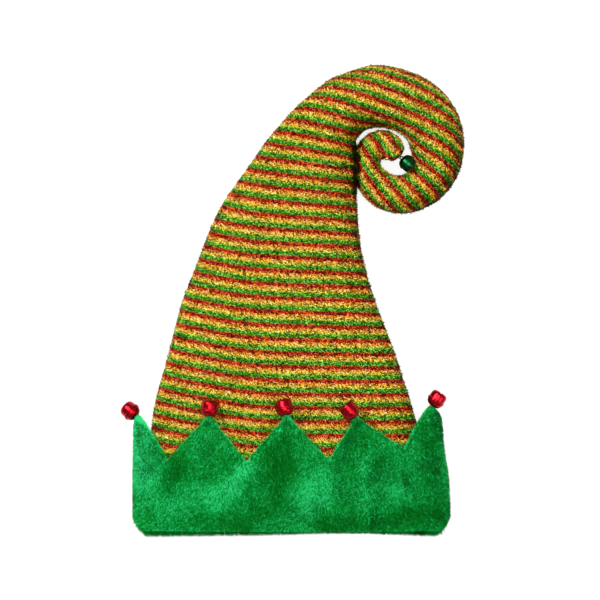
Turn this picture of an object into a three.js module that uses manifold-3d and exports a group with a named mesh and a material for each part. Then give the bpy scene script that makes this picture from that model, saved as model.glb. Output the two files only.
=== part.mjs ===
// An elf hat that lies on its back, front up: a striped crown whose tip curls over to the
// right, a plush cuff with eight points, and a jingle bell on each point and on the tip.
// Millimetres. X runs across the rim, Y from the rim to the top of the hat, and Z is up.
import * as THREE from 'three';
import { mergeVertices } from 'three/addons/utils/BufferGeometryUtils.js';
import Module from 'manifold-3d';

const wasm = await Module();
wasm.setup();

// The hat as it lies
const rimWidth = 296;
const hatLength = 437;
const rimDepth = 46;
const bodyDepth = 60;

// The crown
const crownWall = 2.2;
const curlRadius = 89.5;
const curlGap = 1.5;
const tipLength = 5;

// The cuff
const cuffHeight = 110;
const cuffWall = 4;
const cuffClearance = 1.4;
const hemHeight = 22;
const hemFold = 5.5;
const frontHemStep = 3.5;
const cornerLift = 14;
const edgeRounding = 1.2;
const seamGap = 0.3;

// The bells
const redBellRadius = 8.5;
const greenBellRadius = 7.6;
const bellGap = 0.6;
const bellSheet = 0.8;
const slotWidth = 1.7;
const loopWire = 0.6;
const stitchGap = 0.3;
const pelletRadius = 2.3;
const pelletGap = 0.45;

// How finely the shapes are faceted
const ovalSides = 16;
const stepsPerRow = 2;
const bellSides = 12;
const rimSamples = 720;
const flankSteps = [0, 0.12, 0.28, 0.5, 0.75, 1];

const rimHalf = rimWidth / 2;
const neckEdge = 0.4;
const coilReach = 0.309;
const archReach = 1.01;
const backLift = 2 * redBellRadius + 2 * bellGap;

const fabric = new THREE.MeshStandardMaterial({ color: 0xb9862c, roughness: 0.75 });
const plush = new THREE.MeshStandardMaterial({ color: 0x0a8a38, roughness: 0.95 });
const redMetal = new THREE.MeshStandardMaterial({ color: 0xc01030, roughness: 0.25, metalness: 0.9 });
const greenMetal = new THREE.MeshStandardMaterial({ color: 0x0c5a26, roughness: 0.25, metalness: 0.9 });
const steel = new THREE.MeshStandardMaterial({ color: 0x9a9a9e, roughness: 0.4, metalness: 1 });

// The body of the crown from the hem up. left and right are its two side seams, as shares of
// half the rim, at the shares leftUp and rightUp of the length given by of: the cuff's height
// as far as the back bells, and the hat's length above them. top is the front's height and
// seam the side seams', as shares of the body's depth. under is the back's height as a share
// of what the back bells lift it by. square is 2 for an ellipse.
const bodyRows = [
  {
    of: cuffHeight, leftUp: 0.568, left: -0.922, rightUp: 0.568, right: 0.885,
    top: 0.88, seam: 0.42, under: 0.42, square: 2.8,
  },
  {
    of: cuffHeight, leftUp: 0.898, left: -0.878, rightUp: 0.898, right: 0.799,
    top: 0.94, seam: 0.46, under: 0.8, square: 2.7,
  },
  {
    of: cuffHeight, leftUp: 1.148, left: -0.846, rightUp: 1.148, right: 0.743,
    top: 0.97, seam: 0.49, under: 1.02, square: 2.6,
  },
  {
    of: hatLength, leftUp: 0.395, left: -0.765, rightUp: 0.395, right: 0.636,
    top: 1, seam: 0.47, under: 0.52, square: 2.5,
  },
  {
    of: hatLength, leftUp: 0.5, left: -0.683, rightUp: 0.5, right: 0.523,
    top: 1, seam: 0.45, under: 0.04, square: 2.4,
  },
  {
    of: hatLength, leftUp: 0.584, left: -0.582, rightUp: 0.584, right: 0.45,
    top: 0.98, seam: 0.44, under: -0.1, square: 2.35,
  },
  {
    of: hatLength, leftUp: 0.648, left: -0.507, rightUp: 0.648, right: 0.422,
    top: 0.96, seam: 0.44, under: -0.12, square: 2.3,
  },
  {
    of: hatLength, leftUp: 0.711, left: -0.416, rightUp: 0.711, right: 0.404,
    top: 0.94, seam: 0.44, under: -0.12, square: 2.25,
  },
  {
    of: hatLength, leftUp: 0.785, left: -0.266, rightUp: 0.77, right: neckEdge,
    top: 0.92, seam: 0.44, under: -0.12, square: 2.2,
  },
];

// The curl, as sections of a tube that winds in round the curl's centre. turn is clockwise
// from straight up, tilt turns the section further, and radius and half are the middle's
// distance and half the width, as shares of the curl's radius. deep is depth over width, and
// middle the height of the tube's middle as a share of the body's depth.
const curlRows = [
  { turn: -80, tilt: -2, radius: 0.802, half: 0.468, deep: 0.67, middle: 0.442 },
  { turn: -62, tilt: -6, radius: 0.752, half: 0.37, deep: 0.83, middle: 0.438 },
  { turn: -46, tilt: 0, radius: 0.722, half: 0.325, deep: 0.95, middle: 0.436 },
  { turn: -30, tilt: 0, radius: 0.714, half: 0.317, deep: 0.97, middle: 0.434 },
  { turn: -3, tilt: 0, radius: archReach - 0.322, half: 0.322, deep: 0.94, middle: 0.43 },
  { turn: 30, tilt: 0, radius: 0.641, half: 0.306, deep: 0.95, middle: 0.413 },
  { turn: 60, tilt: 0, radius: 0.586, half: 0.29, deep: 0.97, middle: 0.396 },
  { turn: 90, tilt: 0, radius: 0.527, half: 0.259, deep: 1, middle: 0.375 },
  { turn: 120, tilt: 0, radius: 0.463, half: 0.227, deep: 1.04, middle: 0.362 },
  { turn: 150, tilt: 0, radius: 0.375, half: 0.214, deep: 1, middle: 0.358 },
  { turn: 180, tilt: 0, radius: 0.298, half: 0.204, deep: 0.96, middle: 0.358 },
  { turn: 210, tilt: 0, radius: 0.249, half: 0.175, deep: 1, middle: 0.358 },
  { turn: 240, tilt: 0, radius: 0.216, half: 0.143, deep: 1.06, middle: 0.358 },
  { turn: 270, tilt: 0, radius: coilReach - 0.117, half: 0.117, deep: 1.15, middle: 0.36 },
  { turn: 300, tilt: 0, radius: 0.208, half: 0.138, deep: 1, middle: 0.365 },
  { turn: 330, tilt: 0, radius: 0.204, half: 0.146, deep: 0.94, middle: 0.385 },
  { turn: 360, tilt: 0, radius: 0.183, half: 0.149, deep: 0.88, middle: 0.43 },
  { turn: 384, tilt: 6, radius: 0.155, half: 0.132, deep: 0.84, middle: 0.54 },
  { turn: 405, tilt: -2, radius: 0.127, half: 0.104, deep: 0.82, middle: 0.66 },
];

// The cuff's width at shares of its height: left and right are shares of half the rim.
const cuffRows = [
  { up: 0, left: 0.995, right: 0.995 },
  { up: 0.15, left: 1, right: 1 },
  { up: 0.45, left: 0.998, right: 0.991 },
  { up: 0.75, left: 0.993, right: 0.957 },
  { up: 1.1, left: 0.988, right: 0.937 },
];

// The cuff's points, clockwise as the rim is seen from the crown, starting at the left fold.
// tip and notch are shares of half the rim, and the notch is the one after the tip. tipUp and
// notchUp are shares of the cuff's height, blunt is how rounded the tip is, and face is 1 in
// front and -1 at the back. The bell leans from straight up the hat towards the right, and
// dips towards the floor.
const pointRows = [
  {
    name: 'left', face: 1, tip: -0.965, tipUp: 1, blunt: 0.35,
    notchFace: 1, notch: -0.782, notchUp: 0.655, lean: -52, dip: 20,
  },
  {
    name: 'front_left', face: 1, tip: -0.514, tipUp: 1, blunt: 0.14,
    notchFace: 1, notch: -0.283, notchUp: 0.645, lean: 4, dip: 0,
  },
  {
    name: 'front_middle', face: 1, tip: -0.028, tipUp: 1.01, blunt: 0.12,
    notchFace: 1, notch: 0.237, notchUp: 0.66, lean: -12, dip: 16,
  },
  {
    name: 'front_right', face: 1, tip: 0.41, tipUp: 1, blunt: 0.1,
    notchFace: 1, notch: 0.714, notchUp: 0.75, lean: -40, dip: 4,
  },
  {
    name: 'right', face: 1, tip: 0.875, tipUp: 1.08, blunt: 0.4,
    notchFace: -1, notch: 0.76, notchUp: 0.67, lean: 34, dip: 0,
  },
  {
    name: 'back_right', face: -1, tip: 0.5, tipUp: 1, blunt: 0.12,
    notchFace: -1, notch: 0.25, notchUp: 0.67, lean: 6, dip: 0,
  },
  {
    name: 'back_middle', face: -1, tip: 0, tipUp: 1, blunt: 0.12,
    notchFace: -1, notch: -0.25, notchUp: 0.67, lean: 0, dip: 0,
  },
  {
    name: 'back_left', face: -1, tip: -0.5, tipUp: 1, blunt: 0.12,
    notchFace: -1, notch: -0.76, notchUp: 0.67, lean: -6, dip: 0,
  },
];

// Soft ridges in the cuff's front, from one place to another. across is a share of half the
// rim and up a share of the cuff's height; wide and high are shares of the cuff's height.
const foldRows = [
  { across: -0.78, up: 0.66, toAcross: -0.93, toUp: 0.4, wide: 0.07, high: 0.03 },
  { across: -0.29, up: 0.62, toAcross: -0.5, toUp: 0.16, wide: 0.1, high: 0.045 },
  { across: 0.21, up: 0.62, toAcross: 0.06, toUp: 0.2, wide: 0.1, high: 0.035 },
  { across: 0.43, up: 0.8, toAcross: 0.47, toUp: 0.15, wide: 0.07, high: 0.03 },
  { across: 0.72, up: 0.6, toAcross: 0.66, toUp: 0.25, wide: 0.08, high: 0.025 },
];

const radians = THREE.MathUtils.degToRad;
const signedPower = (value, power) => Math.sign(value) * Math.abs(value) ** power;

// The value at a place between the rows, on a smooth curve through all of them.
function alongRows(rows, place, key) {
  const last = rows.length - 1;
  const first = Math.min(Math.floor(place), last - 1);
  const share = place - first;
  const valueAt = (index) => rows[THREE.MathUtils.clamp(index, 0, last)][key];
  const [a, b, c, d] = [first - 1, first, first + 1, first + 2].map(valueAt);
  return 0.5 * (2 * b + (c - a) * share + (2 * a - 5 * b + 4 * c - d) * share ** 2
    + (3 * b - a - 3 * c + d) * share ** 3);
}

// Linear interpolation in rows whose key grows.
function betweenRows(rows, key, value, wanted) {
  const found = rows.findIndex((row) => row[key] > value);
  const next = found === -1 ? rows.length - 1 : Math.max(found, 1);
  const [low, high] = [rows[next - 1], rows[next]];
  const share = THREE.MathUtils.clamp((value - low[key]) / (high[key] - low[key]), 0, 1);
  return THREE.MathUtils.lerp(low[wanted], high[wanted], share);
}

// Where the crown is sewn to the hem: an oval that fits inside the cuff.
function hemSection() {
  return {
    x: 0,
    y: hemHeight + seamGap,
    halfX: rimHalf - cuffWall - cuffClearance,
    halfY: 0,
    top: rimDepth - cuffWall - cuffClearance,
    seam: rimDepth / 2,
    under: cuffWall + cuffClearance,
    square: 3,
  };
}

function bodySection(row) {
  const [left, right] = [row.left * rimHalf, row.right * rimHalf];
  const [leftUp, rightUp] = [row.leftUp * row.of, row.rightUp * row.of];
  return {
    x: (left + right) / 2,
    y: (leftUp + rightUp) / 2,
    halfX: (right - left) / 2,
    halfY: (rightUp - leftUp) / 2,
    top: row.top * bodyDepth,
    seam: row.seam * bodyDepth,
    under: row.under * backLift,
    square: row.square,
  };
}

const curlX = neckEdge * rimHalf + curlGap + coilReach * curlRadius;
const curlY = hatLength - archReach * curlRadius;

function curlSection(row) {
  const turn = radians(row.turn);
  const facing = radians(row.turn + row.tilt);
  const half = row.half * curlRadius;
  const middle = row.middle * bodyDepth;
  return {
    x: curlX + row.radius * curlRadius * Math.sin(turn),
    y: curlY + row.radius * curlRadius * Math.cos(turn),
    halfX: -half * Math.sin(facing),
    halfY: -half * Math.cos(facing),
    top: middle + half * row.deep,
    seam: middle,
    under: middle - half * row.deep,
    square: 2.1,
  };
}

const namedSections = [hemSection(), ...bodyRows.map(bodySection), ...curlRows.map(curlSection)];
const sectionKeys = Object.keys(namedSections[0]);
const crownSections = Array.from({ length: (namedSections.length - 1) * stepsPerRow + 1 }, (_, i) =>
  Object.fromEntries(sectionKeys.map((key) => [key, alongRows(namedSections, i / stepsPerRow, key)])));

// One point of a section's oval. Angle 0 is the right-hand seam, a right angle is the front.
// The back is flattened where it would reach below the floor.
function ovalPoint(section, angle, inset) {
  const half = Math.hypot(section.halfX, section.halfY);
  const reach = (half - inset) * signedPower(Math.cos(angle), 2 / section.square);
  const rise = signedPower(Math.sin(angle), 2 / section.square);
  const height = rise > 0 ? section.top - section.seam : section.seam - section.under;
  const floor = Math.max(section.under, 0) + inset;
  return new THREE.Vector3(
    section.x + (section.halfX / half) * reach,
    section.y + (section.halfY / half) * reach,
    Math.max(section.seam + (height - inset) * rise, floor),
  );
}

// A closed body from rings of points that follow each other. Rings may wrap round to the
// first one, or the two ends are closed by fans to their own end points.
function ringBody(rings, { wrap = false, ends = [] } = {}) {
  const sides = rings[0].length;
  const points = rings.flat();
  const faces = [];
  const count = wrap ? rings.length : rings.length - 1;
  for (let ring = 0; ring < count; ring += 1) {
    const next = (ring + 1) % rings.length;
    for (let side = 0; side < sides; side += 1) {
      const turn = (side + 1) % sides;
      const [a, b] = [ring * sides + side, ring * sides + turn];
      const [c, d] = [next * sides + turn, next * sides + side];
      faces.push(a, b, c, a, c, d);
    }
  }
  ends.forEach((end, which) => {
    const start = which === 0 ? 0 : (rings.length - 1) * sides;
    const middle = points.push(end) - 1;
    for (let side = 0; side < sides; side += 1) {
      const [a, b] = [start + side, start + ((side + 1) % sides)];
      faces.push(...(which === 0 ? [middle, b, a] : [middle, a, b]));
    }
  });
  const geometry = new THREE.BufferGeometry().setFromPoints(points);
  geometry.setIndex(faces);
  return facingOut(geometry);
}

// The same geometry, with its faces turned round if they point into the body.
function facingOut(geometry) {
  const index = geometry.index.array;
  const [a, b, c] = [new THREE.Vector3(), new THREE.Vector3(), new THREE.Vector3()];
  const place = geometry.getAttribute('position');
  let volume = 0;
  for (let i = 0; i < index.length; i += 3) {
    [a, b, c].forEach((corner, k) => corner.fromBufferAttribute(place, index[i + k]));
    volume += a.dot(b.cross(c));
  }
  if (volume < 0) {
    for (let i = 0; i < index.length; i += 3) {
      [index[i + 1], index[i + 2]] = [index[i + 2], index[i + 1]];
    }
  }
  geometry.computeVertexNormals();
  return geometry;
}

// The crown's end point, past its last section along the way that the tube is going.
function tipAxis() {
  const last = crownSections.at(-1);
  const sideways = new THREE.Vector3(last.halfX, last.halfY, 0).normalize();
  return new THREE.Vector3(-sideways.y, sideways.x, 0);
}

function pastTip(distance) {
  const last = crownSections.at(-1);
  return new THREE.Vector3(last.x, last.y, last.seam).addScaledVector(tipAxis(), distance);
}

function ovalRing(section, inset) {
  return Array.from({ length: ovalSides }, (_, side) =>
    ovalPoint(section, (side / ovalSides) * 2 * Math.PI, inset));
}

// The crown is one wall: up the outside to the tip, and back down the inside to the hem.
function crownGeometry() {
  const outside = crownSections.map((section) => ovalRing(section, 0));
  const inside = crownSections.slice(0, -1).map((section) => ovalRing(section, crownWall));
  const last = outside.at(-1);
  const domeMiddle = pastTip(tipLength * 0.6);
  const dome = last.map((point) => point.clone().lerp(domeMiddle, 0.35)
    .addScaledVector(tipAxis(), tipLength * 0.35));
  return ringBody([...inside.reverse(), ...outside, dome], {
    ends: [pastTip(-crownWall), pastTip(tipLength)],
  });
}

// The cuff's own oval at a height above the rim: as wide as its table says, and lying on the
// crown in front and on the floor at the back.
function cuffSection(y) {
  const up = y / cuffHeight;
  const left = betweenRows(cuffRows, 'up', up, 'left') * rimHalf;
  const right = betweenRows(cuffRows, 'up', up, 'right') * rimHalf;
  return {
    x: (right - left) / 2,
    y,
    halfX: (left + right) / 2,
    halfY: 0,
    top: betweenRows(crownSections, 'y', y, 'top') + cuffClearance + cuffWall,
    seam: betweenRows(crownSections, 'y', y, 'seam'),
    under: -cuffClearance,
    square: 3,
  };
}

// How far the folds in the front push the cuff up at a place on it.
function foldHeight(x, y) {
  return foldRows.reduce((height, fold) => {
    const start = new THREE.Vector2(fold.across * rimHalf, fold.up * cuffHeight);
    const along = new THREE.Vector2(fold.toAcross * rimHalf, fold.toUp * cuffHeight).sub(start);
    const from = new THREE.Vector2(x, y).sub(start);
    const share = THREE.MathUtils.clamp(from.dot(along) / along.lengthSq(), 0, 1);
    const away = from.addScaledVector(along, -share).length() / (fold.wide * cuffHeight);
    return height + fold.high * cuffHeight * Math.exp(-away * away);
  }, 0);
}

// How far a bell that dips holds the middle of its point's edge above what it lies on.
function tipHeight(dip) {
  const angle = radians(dip);
  return bellGap + redBellRadius * Math.cos(angle) + bellLength(redBellRadius).foot * Math.sin(angle)
    + bellLength(redBellRadius).dome * Math.sin(angle);
}

// How high each point's tip is lifted by the bell under it. Side points aren't lifted.
function liftAt(column, y) {
  const share = THREE.MathUtils.smoothstep(y, column.notchUp, column.tipUp);
  return column.lift * share * Math.abs(Math.sin(column.angle)) ** 0.5;
}

function cuffPoint(column, y, inset) {
  const point = ovalPoint(cuffSection(y), column.angle, inset);
  const front = THREE.MathUtils.smoothstep(Math.sin(column.angle), 0, 0.6);
  point.z += front * foldHeight(point.x, y) + liftAt(column, y);
  return point;
}

// The angle on the cuff's oval at a height, at a share of half the rim from the rim's middle,
// in front (1) or at the back (-1).
function rimAngle(across, up, face) {
  const section = cuffSection(up * cuffHeight);
  const share = THREE.MathUtils.clamp((across * rimHalf - section.x) / section.halfX, -1, 1);
  return face * Math.acos(signedPower(share, section.square / 2));
}

// The rim's length round from the left fold to each of many angles, over the front first.
const notchHeight = 0.67 * cuffHeight;
const rimLengths = [{ angle: Math.PI, length: 0, back: -Math.PI }];
for (let i = 1; i <= rimSamples; i += 1) {
  const angle = Math.PI - (i / rimSamples) * 2 * Math.PI;
  const before = rimLengths.at(-1);
  const section = cuffSection(notchHeight);
  const step = ovalPoint(section, angle, 0).distanceTo(ovalPoint(section, before.angle, 0));
  rimLengths.push({ angle, length: before.length + step, back: -angle });
}

// A height on a point's edge: straight flanks, a rounded tip and a sharp notch. away is 0 at
// the tip and 1 at the notch.
function edgeHeight(tipUp, notchUp, blunt, away) {
  const rounded = (share) => Math.hypot(share, blunt) - blunt;
  return tipUp - ((tipUp - notchUp) * rounded(away)) / rounded(1);
}

// One column of the cuff for each place where its edge is worked out: the tip, the flank
// down to the notch, the notch, and the flank up to the next tip.
function cuffColumns() {
  const columns = [];
  const lengthOf = (angle) => betweenRows(rimLengths, 'back', -angle, 'length');
  const roundLength = rimLengths.at(-1).length;
  pointRows.forEach((row, which) => {
    const next = pointRows[(which + 1) % pointRows.length];
    const tip = lengthOf(rimAngle(row.tip, row.tipUp, row.face));
    const notch = lengthOf(rimAngle(row.notch, row.notchUp, row.notchFace));
    const lap = next === pointRows[0] ? roundLength : 0;
    const nextTip = lengthOf(rimAngle(next.tip, next.tipUp, next.face)) + lap;
    const addColumn = (length, owner, away) => {
      const tipUp = owner.tipUp * cuffHeight;
      const notchUp = row.notchUp * cuffHeight;
      columns.push({
        angle: betweenRows(rimLengths, 'length', length % roundLength, 'angle'),
        height: edgeHeight(tipUp, notchUp, owner.blunt, away),
        notchUp,
        tipUp,
        lift: owner.lift,
      });
    };
    flankSteps.slice(0, -1).forEach((away) => addColumn(tip + (notch - tip) * away, row, away));
    flankSteps.slice(1).reverse().forEach((away) => {
      addColumn(nextTip - (nextTip - notch) * away, next, away);
    });
  });
  return columns;
}

// A bell's parts beyond its flange, along its axis, from its radius.
function bellLength(radius) {
  return { dome: radius * 1.08, bowl: radius * 0.72, foot: radius };
}

// How high the rim's bottom edge lies above its lowest place: the front steps back a little,
// and both folds are rounded off.
function rimBottom(angle) {
  const front = THREE.MathUtils.smoothstep(Math.sin(angle), 0, 0.6);
  const corner = Math.max(Math.abs(Math.cos(angle)) - 0.88, 0) / 0.12;
  return frontHemStep * front + cornerLift * corner ** 2;
}

// The cuff in one closed loop: up the inside of the hem, round the fold, up the outside to
// the edge of the points, and down their inside into the fold again.
function cuffGeometry() {
  const hem = crownSections[0];
  const hemPoint = (column, y, inset) => ovalPoint(hem, column.angle, inset).setY(y);
  const rings = cuffColumns().map((column) => {
    const bottom = rimBottom(column.angle);
    const rise = column.height - bottom;
    const outside = [0.12, 0.35, 0.6, 0.82].map((share) => cuffPoint(column, bottom + rise * share, 0));
    const inside = [0.82, 0.6, 0.35].map((share) => cuffPoint(column, bottom + rise * share, cuffWall));
    return [
      hemPoint(column, hemHeight, crownWall),
      hemPoint(column, bottom + hemFold / 2, crownWall),
      hemPoint(column, bottom + edgeRounding / 2, crownWall / 4),
      cuffPoint(column, bottom, cuffWall / 2).setY(bottom),
      cuffPoint(column, bottom + hemFold / 2, 0),
      ...outside,
      cuffPoint(column, column.height - edgeRounding, 0),
      cuffPoint(column, column.height, cuffWall / 2),
      cuffPoint(column, column.height - edgeRounding, cuffWall),
      ...inside,
      cuffPoint(column, bottom + hemFold, cuffWall),
      hemPoint(column, bottom + hemFold, 0),
      hemPoint(column, hemHeight, 0),
    ];
  });
  return ringBody(rings, { wrap: true });
}

function solidOf(geometry) {
  const bare = geometry.index ? geometry.toNonIndexed() : geometry.clone();
  bare.deleteAttribute('normal');
  bare.deleteAttribute('uv');
  const merged = mergeVertices(bare, 1e-4);
  return new wasm.Manifold(new wasm.Mesh({
    numProp: 3,
    vertProperties: merged.getAttribute('position').array,
    triVerts: new Uint32Array(merged.index.array),
  }));
}

function geometryOf(solid) {
  const mesh = solid.getMesh();
  const geometry = new THREE.BufferGeometry();
  geometry.setAttribute('position', new THREE.BufferAttribute(mesh.vertProperties, mesh.numProp));
  geometry.setIndex(new THREE.BufferAttribute(mesh.triVerts, 1));
  geometry.computeVertexNormals();
  return geometry;
}

// A body turned round Y from its profile, which starts and ends on the axis.
function turnedSolid(profile) {
  return solidOf(new THREE.LatheGeometry(profile.map(([x, y]) => new THREE.Vector2(x, y)), bellSides));
}

// A bell along +Y: a tall dome with a cross of two slots, a crimped flange, a shallower bowl
// and the wire loop that it is sewn by, all of it hollow.
function bellGeometry(radius) {
  const { dome, bowl, foot } = bellLength(radius);
  const body = radius * 0.9;
  const hollow = body - bellSheet;
  const outside = turnedSolid([
    [0, -bowl], [body * 0.62, -bowl * 0.86], [body, -bowl * 0.3], [radius, -bellSheet / 2],
    [radius, bellSheet / 2], [body, bellSheet], [body * 0.97, dome * 0.55], [body * 0.72, dome * 0.9],
    [0, dome],
  ]);
  const inside = turnedSolid([
    [0, bellSheet - bowl], [hollow * 0.6, bellSheet - bowl * 0.86], [hollow, -bowl * 0.3],
    [hollow * 0.97, dome * 0.5], [hollow * 0.7, dome * 0.9 - bellSheet], [0, dome - bellSheet],
  ]);
  const ring = (foot - bowl + loopWire) / 2;
  const loop = new THREE.TorusGeometry(ring, loopWire, 4, 8).translate(0, ring + loopWire - foot, 0);
  const slot = new THREE.BoxGeometry(slotWidth, dome, radius * 1.5).translate(0, dome * 1.02, 0);
  const crossed = slot.clone().rotateY(Math.PI / 2);
  return geometryOf(outside.add(solidOf(loop)).subtract(inside).subtract(solidOf(slot))
    .subtract(solidOf(crossed)));
}

const hat = new THREE.Group();

const origin = new THREE.Vector3();
const upTheHat = new THREE.Vector3(0, 1, 0);

function addPiece(name, geometry, material, place = origin, axis = upTheHat) {
  const mesh = new THREE.Mesh(geometry, material);
  mesh.name = name;
  mesh.position.copy(place);
  mesh.quaternion.setFromUnitVectors(upTheHat, axis);
  hat.add(mesh);
  return mesh;
}

// A bell whose loop's foot stands at a place, with its loose steel pellet at the bottom.
function addBell(name, radius, material, foot, axis) {
  const centre = foot.clone().addScaledVector(axis, bellLength(radius).foot + stitchGap);
  addPiece(`bell_${name}`, bellGeometry(radius), material, centre, axis);
  const drop = radius * 0.9 - bellSheet - pelletRadius - pelletGap;
  const pellet = new THREE.SphereGeometry(pelletRadius, 8, 5);
  addPiece(`pellet_${name}`, pellet, steel, centre.clone().setZ(centre.z - drop));
}

// Each point is lifted so that its bell lies on the crown in front and the floor behind.
pointRows.forEach((row) => {
  const rest = row.face > 0 ? cuffClearance : 0;
  row.lift = Math.abs(row.tip) > 0.8 ? 0 : tipHeight(row.dip) - cuffWall / 2 - rest;
});

addPiece('crown', crownGeometry(), fabric);
addPiece('cuff', cuffGeometry(), plush);

const tipColumns = cuffColumns().filter((_, which) => which % (2 * (flankSteps.length - 1)) === 0);
pointRows.forEach((row, which) => {
  const [lean, dip] = [radians(row.lean), radians(row.dip)];
  const axis = new THREE.Vector3(
    Math.sin(lean) * Math.cos(dip),
    Math.cos(lean) * Math.cos(dip),
    -Math.sin(dip),
  );
  const column = tipColumns[which];
  addBell(row.name, redBellRadius, redMetal, cuffPoint(column, column.height, cuffWall / 2), axis);
});
addBell('tip', greenBellRadius, greenMetal, pastTip(tipLength), tipAxis());

// The origin is the middle of the bottom of the hat's box.
const box = new THREE.Box3().setFromObject(hat);
hat.position.set(-(box.min.x + box.max.x) / 2, -(box.min.y + box.max.y) / 2, -box.min.z);

export default hat;
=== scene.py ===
import bpy
import math
import numpy as np
from mathutils import Matrix, Vector, noise


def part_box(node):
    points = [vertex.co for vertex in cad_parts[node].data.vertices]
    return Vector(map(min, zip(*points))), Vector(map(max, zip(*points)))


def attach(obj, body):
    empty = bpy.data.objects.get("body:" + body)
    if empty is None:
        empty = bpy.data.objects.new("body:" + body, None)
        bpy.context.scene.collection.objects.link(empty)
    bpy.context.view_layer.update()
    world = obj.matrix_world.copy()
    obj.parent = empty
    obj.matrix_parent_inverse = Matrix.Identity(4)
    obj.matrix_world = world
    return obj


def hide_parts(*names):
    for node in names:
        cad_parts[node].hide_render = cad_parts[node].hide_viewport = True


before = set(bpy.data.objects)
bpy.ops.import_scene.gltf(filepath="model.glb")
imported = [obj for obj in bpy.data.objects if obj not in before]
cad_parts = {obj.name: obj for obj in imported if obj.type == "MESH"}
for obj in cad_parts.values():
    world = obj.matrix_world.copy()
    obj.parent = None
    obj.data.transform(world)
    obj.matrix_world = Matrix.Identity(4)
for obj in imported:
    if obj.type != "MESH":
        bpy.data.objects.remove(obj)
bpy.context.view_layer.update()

# The hat lies on a white table with its front up, and is seen from straight above it. The
# view is 558 mm wide at the height where the hat's outline lies.
rim_x = 0.00041
rim_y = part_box("cuff")[0][1]

view_width = 0.558
view_height = 1.75
outline_height = 0.026
view_centre = (rim_x + 0.0079, rim_y + 0.2186)
sensor_width = 36

camera_data = bpy.data.cameras.new("camera")
camera_data.sensor_width = sensor_width
camera_data.lens = sensor_width * (view_height - outline_height) / view_width
camera = bpy.data.objects.new("camera", camera_data)
camera.location = (*view_centre, view_height)
bpy.context.scene.collection.objects.link(camera)
bpy.context.scene.camera = camera

# The studio: a matt white light table, and soft boxes. The largest stands above the left of the
# hat, so that the cloth is lighter on that side, and a weak one fills the right.
table_size = 12.0
table_tone = (0.3, 0.3, 0.3, 1)
table_glow = 0.85
soft_boxes = [
    {"name": "key_light", "place": (-0.75, 0.75, 1.25), "size": 1.0, "watts": 24},
    {"name": "top_light", "place": (0.1, 0.1, 1.9), "size": 1.4, "watts": 18},
    {"name": "fill_light", "place": (1.1, -0.6, 1.1), "size": 1.0, "watts": 5},
]

bpy.context.scene.view_settings.view_transform = "Standard"
bpy.context.scene.view_settings.look = "None"
world = bpy.data.worlds.new("studio")
world.use_nodes = True
world.node_tree.nodes["Background"].inputs["Color"].default_value = (1, 1, 1, 1)
world.node_tree.nodes["Background"].inputs["Strength"].default_value = 0.4
bpy.context.scene.world = world

for box in soft_boxes:
    light = bpy.data.lights.new(box["name"], "AREA")
    light.shape = "DISK"
    light.size = box["size"]
    light.energy = box["watts"]
    lamp = bpy.data.objects.new(box["name"], light)
    lamp.location = box["place"]
    lamp.rotation_euler = (-Vector(box["place"])).to_track_quat("-Z", "Y").to_euler()
    bpy.context.scene.collection.objects.link(lamp)


def new_material(name, roughness, metallic=0.0):
    """A material, its tree and its shader. What is the same all over is set on the shader."""
    material = bpy.data.materials.new(name)
    material.use_nodes = True
    shader = material.node_tree.nodes["Principled BSDF"]
    shader.inputs["Roughness"].default_value = roughness
    shader.inputs["Metallic"].default_value = metallic
    return material, material.node_tree, shader


def new_piece(name, vertices, faces, *materials, smooth=True):
    """A mesh object from arrays of vertices and faces."""
    mesh = bpy.data.meshes.new(name)
    vertices = np.asarray(vertices, dtype=np.float32)
    faces = np.asarray(faces, dtype=np.int32)
    mesh.vertices.add(len(vertices))
    mesh.vertices.foreach_set("co", vertices.ravel())
    mesh.loops.add(faces.size)
    mesh.loops.foreach_set("vertex_index", faces.ravel())
    mesh.polygons.add(len(faces))
    mesh.polygons.foreach_set("loop_start", np.arange(0, faces.size, faces.shape[1], dtype=np.int32))
    mesh.polygons.foreach_set("use_smooth", np.full(len(faces), smooth))
    mesh.update(calc_edges=True)
    for material in materials:
        mesh.materials.append(material)
    piece = bpy.data.objects.new(name, mesh)
    bpy.context.scene.collection.objects.link(piece)
    return piece


table_material, tree, shader = new_material("matt_white_table", 0.9)
shader.inputs["Base Color"].default_value = table_tone
shader.inputs["Emission Color"].default_value = (1, 1, 1, 1)
shader.inputs["Emission Strength"].default_value = table_glow
half_table = table_size / 2
table = new_piece(
    "table",
    [(-half_table, -half_table, 0), (half_table, -half_table, 0), (half_table, half_table, 0),
     (-half_table, half_table, 0)],
    [(0, 1, 2, 3)],
    table_material,
)
# Where the hat lies it shades the table, so no light comes back up from under it.
table.visible_diffuse = False

# The crown is a bag of knitted tinsel cloth with level red, green and gold stripes, cut from
# two curved panels and sewn along its sides. It is 2.2 mm thick with its backing, lies on its
# back, and its upper end is drawn into a coil.
rim_half = 0.148
hat_length = 0.437
rim_depth = 0.046
body_depth = 0.060
crown_wall = 0.0022
cuff_height = 0.110
cuff_wall = 0.004
cuff_clearance = 0.0014
hem_height = 0.022
seam_gap = 0.0003
curl_radius = 0.0895
curl_gap = 0.0015
tip_length = 0.005
neck_edge = 0.4
coil_reach = 0.309
arch_reach = 1.01
back_lift = 0.0182
stripe_repeat = 0.0125
stripe_start = -0.0042
left_rise = 0.18
left_rise_start = -0.027
left_rise_bend = 0.02
left_rise_ends = 12
rim_square = 3
lowest = 0.0001

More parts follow.
